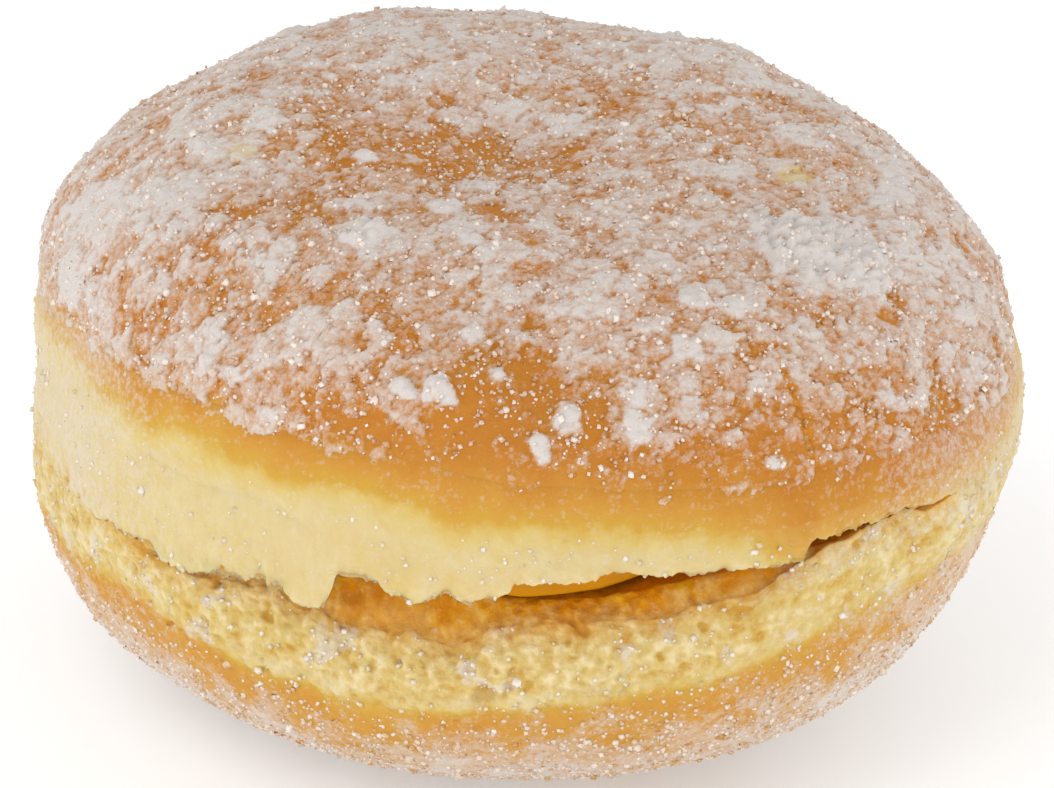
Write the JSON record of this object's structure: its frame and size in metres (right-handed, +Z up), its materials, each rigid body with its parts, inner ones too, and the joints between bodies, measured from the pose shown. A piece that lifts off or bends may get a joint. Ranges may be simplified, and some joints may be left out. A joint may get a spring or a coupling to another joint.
{
  "type": "cream-filled doughnut",
  "caption": "Round sugared doughnut, slit along one side, with smooth yellow custard showing in the slit between a brown crown and a brown base.",
  "frame": {"origin": "middle of the base of the doughnut's bounding box, on the surface it rests on", "axes": "+Z up through the crown, -Y towards the front where the slit gapes, +X to the right seen from the front"},
  "size_m": [0.0906, 0.0902, 0.0554],
  "materials": {
    "dough": "golden-brown fried crust with caked white sugar, pale yellow crumb round the slit",
    "cream": "smooth satin custard"
  },
  "bodies": {
    "root": {"dough": "dough", "cream": "cream"}
  },
  "joints": []
}
